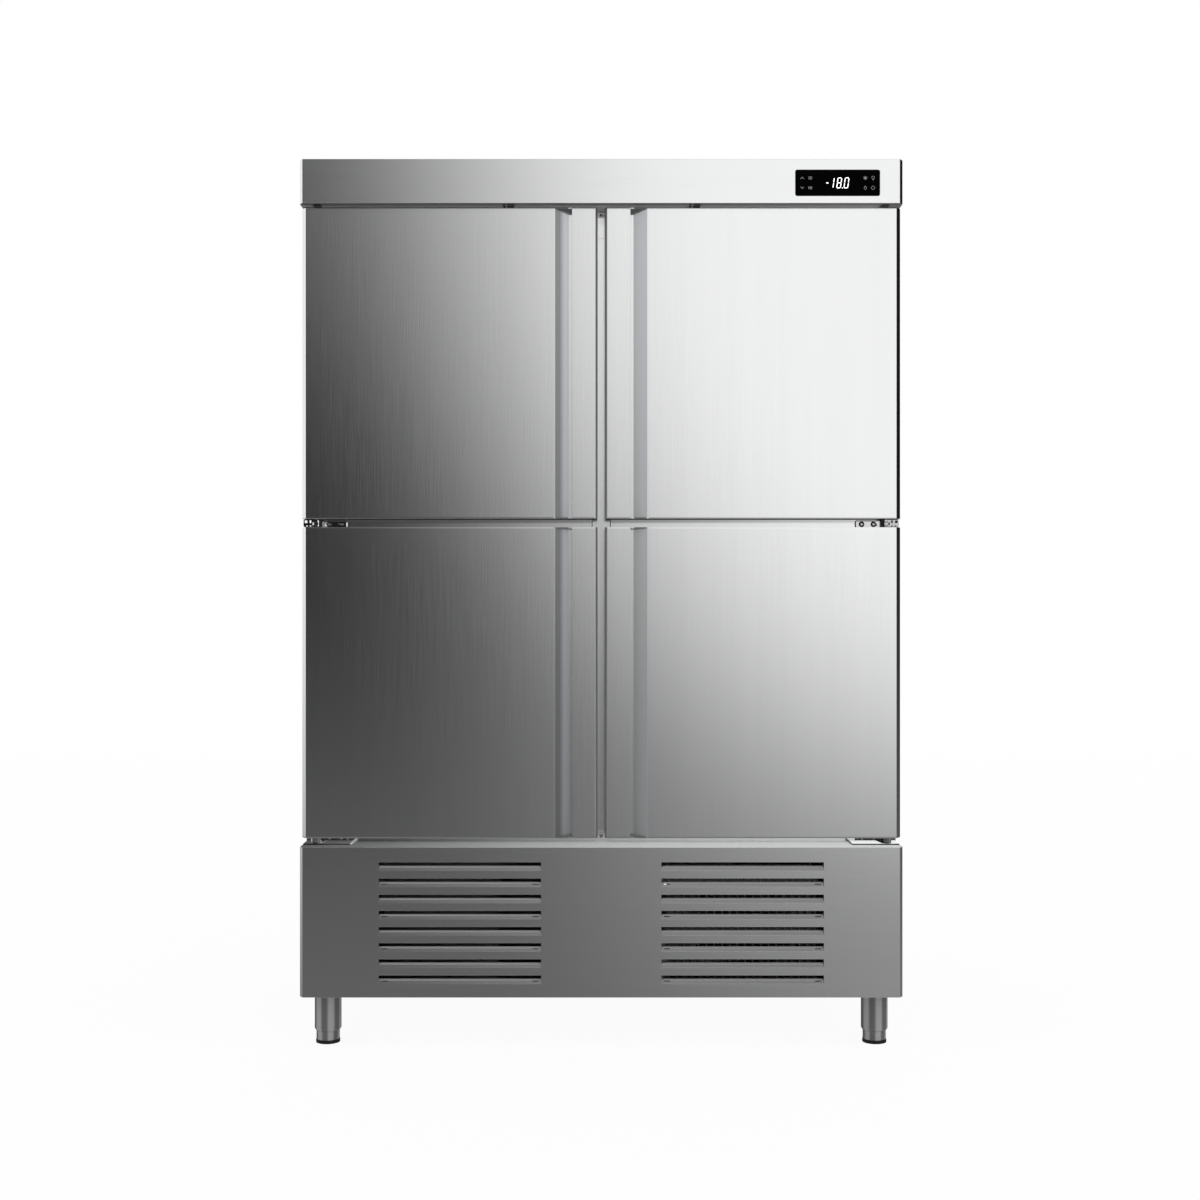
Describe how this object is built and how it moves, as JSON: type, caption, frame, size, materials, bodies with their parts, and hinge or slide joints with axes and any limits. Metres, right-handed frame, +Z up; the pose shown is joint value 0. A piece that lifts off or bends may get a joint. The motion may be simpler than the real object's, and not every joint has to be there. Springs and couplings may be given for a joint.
{
  "type": "freezer cabinet",
  "caption": "Upright stainless commercial freezer cabinet with half doors in two columns, recessed grips, a fascia with a controller, a louvred base and adjustable legs.",
  "frame": {"origin": "on the floor under the middle of the cabinet", "axes": "+Z up, +X to the right seen from the front, the doors face -Y"},
  "size_m": [1.388, 0.726, 2.045],
  "materials": {
    "stainless": "satin",
    "inner_steel": "satin",
    "galvanised": "satin",
    "hinge_steel": "satin",
    "pin_steel": "polished",
    "foam": "matte",
    "cap_plastic": "matte",
    "panel_black": "gloss",
    "gasket_rubber": "matte",
    "pad_rubber": "matte",
    "coated_wire": "satin",
    "fin_aluminium": "satin",
    "fan_plastic": "matte",
    "motor_black": "satin",
    "copper": "satin"
  },
  "bodies": {
    "cabinet": {"side_panel_left": "stainless", "side_panel_right": "stainless", "back_panel": "galvanised", "roof_panel": "stainless", "base_deck": "stainless", "base_tray": "galvanised", "insulation": "foam", "inner_liner": "inner_steel", "door_frame": "stainless", "mullion": "stainless", "mullion_brackets": "stainless", "fascia": "stainless", "controller": "panel_black", "lower_panel": "stainless", "leg_sleeves": "stainless", "top_hinges": "hinge_steel", "mid_hinges": "hinge_steel", "bottom_hinges": "hinge_steel", "hinge_pins": "pin_steel", "frame_screws": "pin_steel", "shelves": "coated_wire", "shelf_racks": "inner_steel", "shelf_runners": "inner_steel", "evaporator_cover": "inner_steel", "evaporator_coil": "fin_aluminium", "fan_motors": "motor_black", "compressor": "motor_black", "condenser_coil": "fin_aluminium", "condenser_shroud": "galvanised", "refrigerant_pipes": "copper"},
    "door_upper_left": {"door_upper_left_skin": "stainless", "door_upper_left_core": "foam", "door_upper_left_liner": "inner_steel", "door_upper_left_gasket": "gasket_rubber", "door_upper_left_ends": "cap_plastic"},
    "door_upper_right": {"door_upper_right_skin": "stainless", "door_upper_right_core": "foam", "door_upper_right_liner": "inner_steel", "door_upper_right_gasket": "gasket_rubber", "door_upper_right_ends": "cap_plastic"},
    "door_lower_left": {"door_lower_left_skin": "stainless", "door_lower_left_core": "foam", "door_lower_left_liner": "inner_steel", "door_lower_left_gasket": "gasket_rubber", "door_lower_left_ends": "cap_plastic"},
    "door_lower_right": {"door_lower_right_skin": "stainless", "door_lower_right_core": "foam", "door_lower_right_liner": "inner_steel", "door_lower_right_gasket": "gasket_rubber", "door_lower_right_ends": "cap_plastic"},
    "evaporator_fan": {"evaporator_fan": "fan_plastic"},
    "condenser_fan": {"condenser_fan": "fan_plastic"},
    "foot_front_left": {"foot_front_left": "hinge_steel", "foot_pad_front_left": "pad_rubber"},
    "foot_front_right": {"foot_front_right": "hinge_steel", "foot_pad_front_right": "pad_rubber"},
    "foot_rear_left": {"foot_rear_left": "hinge_steel", "foot_pad_rear_left": "pad_rubber"},
    "foot_rear_right": {"foot_rear_right": "hinge_steel", "foot_pad_rear_right": "pad_rubber"}
  },
  "joints": [
    {"name": "door_upper_left_hinge", "type": "hinge", "parent": "cabinet", "child": "door_upper_left", "pos_m": [-0.664, -0.306, 1.5805], "axis": [0, 0, -1], "range_deg": [0, 110]},
    {"name": "door_upper_right_hinge", "type": "hinge", "parent": "cabinet", "child": "door_upper_right", "pos_m": [0.664, -0.306, 1.5805], "axis": [0, 0, 1], "range_deg": [0, 110]},
    {"name": "door_lower_left_hinge", "type": "hinge", "parent": "cabinet", "child": "door_lower_left", "pos_m": [-0.664, -0.306, 0.8415], "axis": [0, 0, -1], "range_deg": [0, 110]},
    {"name": "door_lower_right_hinge", "type": "hinge", "parent": "cabinet", "child": "door_lower_right", "pos_m": [0.664, -0.306, 0.8415], "axis": [0, 0, 1], "range_deg": [0, 110]},
    {"name": "evaporator_fan_spin", "type": "hinge", "parent": "cabinet", "child": "evaporator_fan", "pos_m": [0, 0.08, 1.784], "axis": [0, 1, 0], "continuous": true},
    {"name": "condenser_fan_spin", "type": "hinge", "parent": "cabinet", "child": "condenser_fan", "pos_m": [0.3245, -0.26, 0.267], "axis": [0, 1, 0], "continuous": true},
    {"name": "foot_front_left_screw", "type": "slide", "parent": "cabinet", "child": "foot_front_left", "axis": [0, 0, -1], "range_m": [0, 0.05]},
    {"name": "foot_front_right_screw", "type": "slide", "parent": "cabinet", "child": "foot_front_right", "axis": [0, 0, -1], "range_m": [0, 0.05]},
    {"name": "foot_rear_left_screw", "type": "slide", "parent": "cabinet", "child": "foot_rear_left", "axis": [0, 0, -1], "range_m": [0, 0.05]},
    {"name": "foot_rear_right_screw", "type": "slide", "parent": "cabinet", "child": "foot_rear_right", "axis": [0, 0, -1], "range_m": [0, 0.05]}
  ]
}
